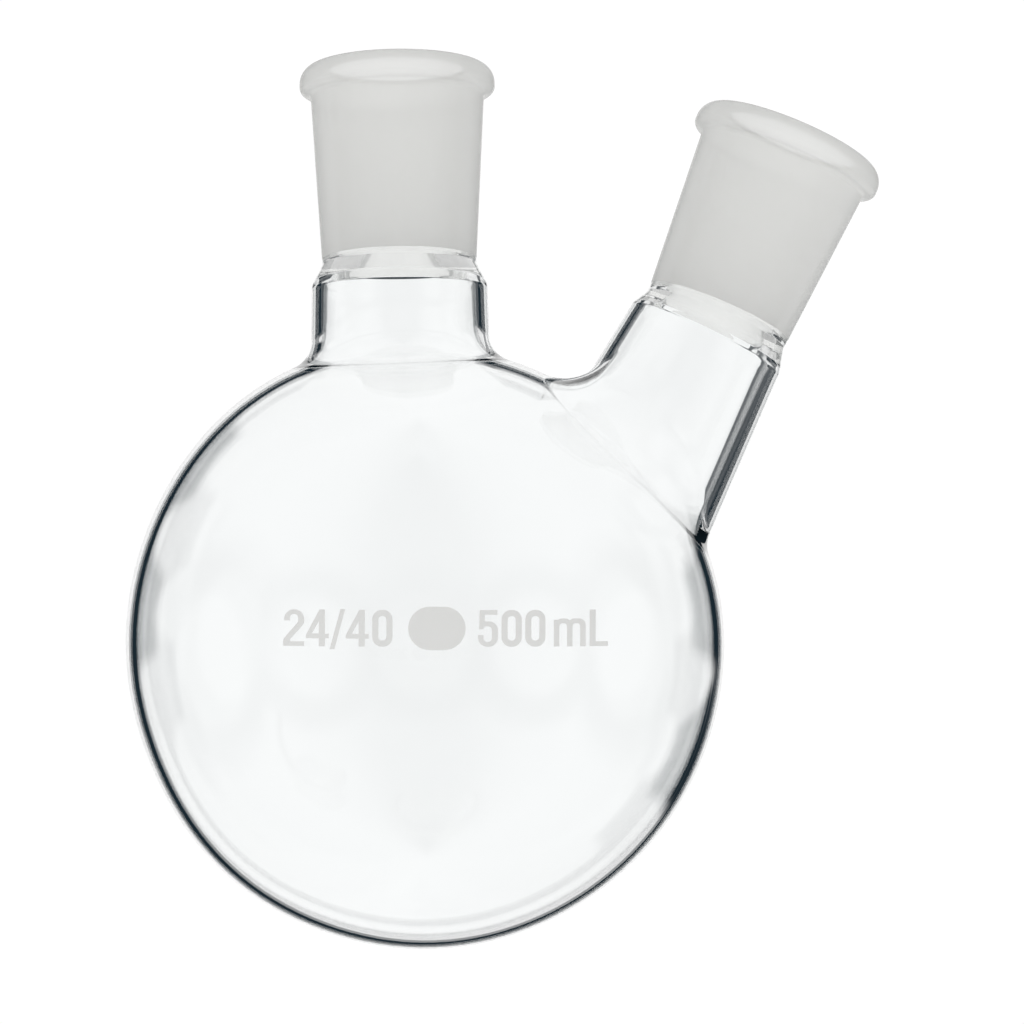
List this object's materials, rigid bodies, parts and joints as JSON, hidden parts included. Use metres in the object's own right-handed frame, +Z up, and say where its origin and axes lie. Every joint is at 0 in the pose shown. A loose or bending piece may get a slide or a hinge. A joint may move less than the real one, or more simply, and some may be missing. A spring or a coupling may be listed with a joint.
{
  "type": "round bottom flask",
  "caption": "Round-bottomed clear glass flask with an upright neck in the middle and another neck leaning out to the side, each ending in a frosted ground socket with a rounded rim.",
  "frame": {"origin": "lowest point of the bulb", "axes": "+Z up along the centre neck's axis, +X from the centre neck towards the side neck, -Y towards the printed marks"},
  "size_m": [0.1344, 0.1051, 0.1571],
  "materials": {
    "clear_glass": "clear fire-polished borosilicate glass",
    "ground_glass": "borosilicate glass with a frosted ground bore",
    "grey_enamel": "thin fired enamel print"
  },
  "bodies": {
    "root": {"bulb": "clear_glass", "centre_neck": "clear_glass", "centre_socket": "ground_glass", "side_neck": "clear_glass", "side_socket": "ground_glass", "mark_joint_size": "grey_enamel", "mark_spot": "grey_enamel", "mark_capacity": "grey_enamel"}
  },
  "joints": []
}
